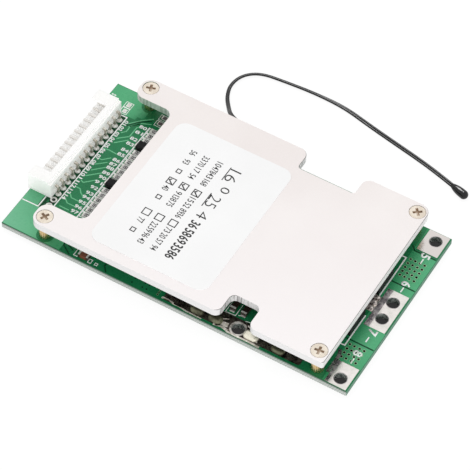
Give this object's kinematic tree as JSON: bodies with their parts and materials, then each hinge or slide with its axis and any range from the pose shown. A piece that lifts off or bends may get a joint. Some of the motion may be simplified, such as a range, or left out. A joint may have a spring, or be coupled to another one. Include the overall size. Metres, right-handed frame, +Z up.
{
  "type": "battery management board",
  "caption": "Green circuit board with a white balance socket, bare power terminals, a notched aluminium heatsink plate on brass standoffs and a black temperature lead.",
  "frame": {"origin": "middle of the footprint of the board, its socket and its plate, at the ends of the staked standoffs that the part stands on", "axes": "+X from the balance socket to the power terminals, +Y to the edge with the wide plate notch, +Z up out of the component side"},
  "size_m": [0.1106, 0.0916, 0.0114],
  "materials": {
    "solder_mask": "glossy green solder mask",
    "tinned_copper": "bright hot-tinned copper",
    "solder": "bright solder",
    "flux_coated_solder": "solder under a yellowish flux film",
    "blasted_aluminium": "pale fine-blasted aluminium",
    "screw_steel": "nickel-plated steel",
    "standoff_brass": "fluted brass",
    "natural_nylon": "milky natural nylon",
    "pin_metal": "tin-plated metal",
    "black_epoxy": "moulded black epoxy",
    "silicone_pad": "soft grey silicone",
    "resistor_ceramic": "dark glazed resistor face",
    "chip_end_metal": "tinned chip end",
    "capacitor_ceramic": "brown ceramic",
    "label_paper": "smooth white paper",
    "potting_glue": "cured white glue",
    "lead_sleeve": "black insulated twin lead",
    "bead_epoxy": "glossy black epoxy drop"
  },
  "bodies": {
    "root": {"circuit_board": "solder_mask", "back_terminal": "tinned_copper", "middle_terminal": "tinned_copper", "front_terminal": "tinned_copper", "mounting_hole_ring": "tinned_copper", "front_bus_strip": "tinned_copper", "bus_solder_mounds": "flux_coated_solder", "bridge_solder": "solder", "heatsink_plate": "blasted_aluminium", "plate_screws": "screw_steel", "standoffs": "standoff_brass", "connector_housing": "natural_nylon", "connector_pins": "pin_metal", "connector_solder": "solder", "spare_hole_rings": "tinned_copper", "mosfet_bodies": "black_epoxy", "mosfet_tabs": "pin_metal", "mosfet_leads": "pin_metal", "thermal_pad": "silicone_pad", "balance_resistors": "resistor_ceramic", "balance_resistor_ends": "chip_end_metal", "small_resistors": "resistor_ceramic", "small_resistor_ends": "chip_end_metal", "shunt_resistors": "black_epoxy", "shunt_resistor_ends": "chip_end_metal", "capacitors": "capacitor_ceramic", "capacitor_ends": "chip_end_metal", "diode_bodies": "black_epoxy", "diode_leads": "chip_end_metal", "controller_chips": "black_epoxy", "controller_chip_leads": "chip_end_metal", "label": "label_paper", "lead_anchor": "potting_glue", "thermistor_lead": "lead_sleeve", "thermistor_bead": "bead_epoxy"}
  },
  "joints": []
}
